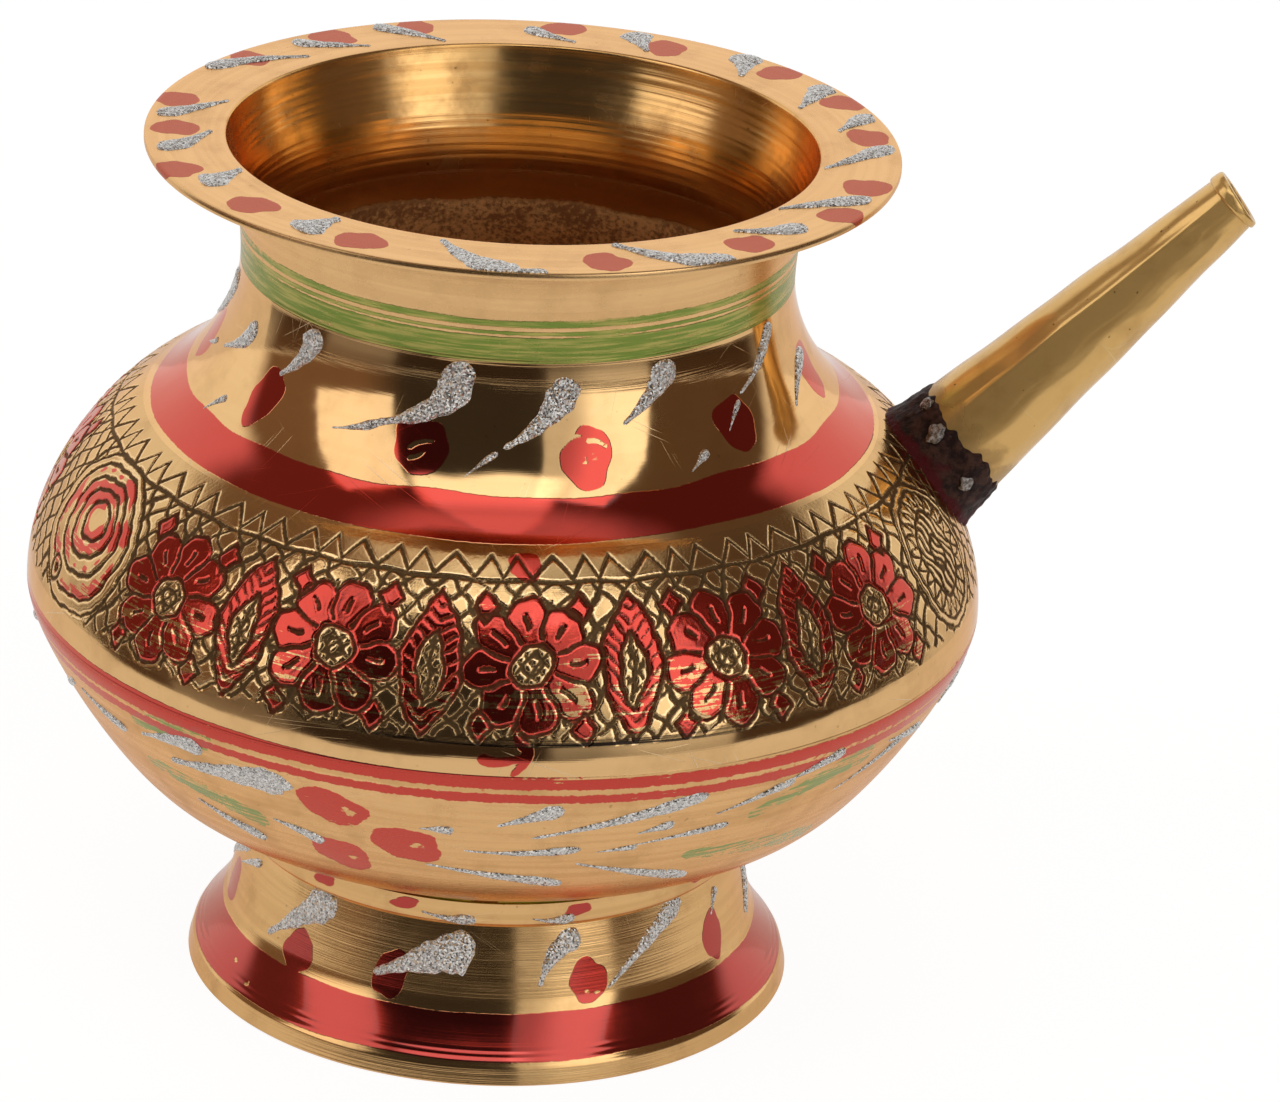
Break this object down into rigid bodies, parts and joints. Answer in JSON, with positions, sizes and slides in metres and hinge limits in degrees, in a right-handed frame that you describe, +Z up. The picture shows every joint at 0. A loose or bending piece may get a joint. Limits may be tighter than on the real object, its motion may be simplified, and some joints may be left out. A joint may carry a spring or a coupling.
{
  "type": "spouted lota",
  "caption": "Round-bellied brass water pot with a wide flat rim, a turned pedestal foot and a straight conical pouring spout on its shoulder.",
  "frame": {"origin": "on the floor plane, under the middle of the pot's whole length, spout included; the vessel's upright axis stands at X = -15.3 mm", "axes": "+Z up, +X from the vessel towards the mouth of the spout, +Y completing a right-handed frame"},
  "size_m": [0.1466, 0.116, 0.1071],
  "materials": {
    "turned_brass": "satin turned brass",
    "polished_brass": "polished brass, engraved and lacquered in places",
    "foot_brass": "polished turned brass",
    "sheet_brass": "bright polished sheet brass",
    "brazing": "dull brazed seam",
    "burnt_solder": "flux-burnt solder",
    "bright_solder": "bright solder lumps",
    "silver_glitter": "raised strokes of glue and silver glitter"
  },
  "bodies": {
    "root": {"foot_ring": "foot_brass", "foot_solder": "brazing", "bowl": "turned_brass", "girth_seam": "brazing", "shoulder": "polished_brass", "neck_seam": "brazing", "neck_rim": "turned_brass", "spout_tube": "sheet_brass", "spout_lip": "sheet_brass", "spout_solder": "burnt_solder", "solder_bead_upper": "bright_solder", "solder_bead_middle": "bright_solder", "solder_bead_lower": "bright_solder"}
  },
  "joints": []
}
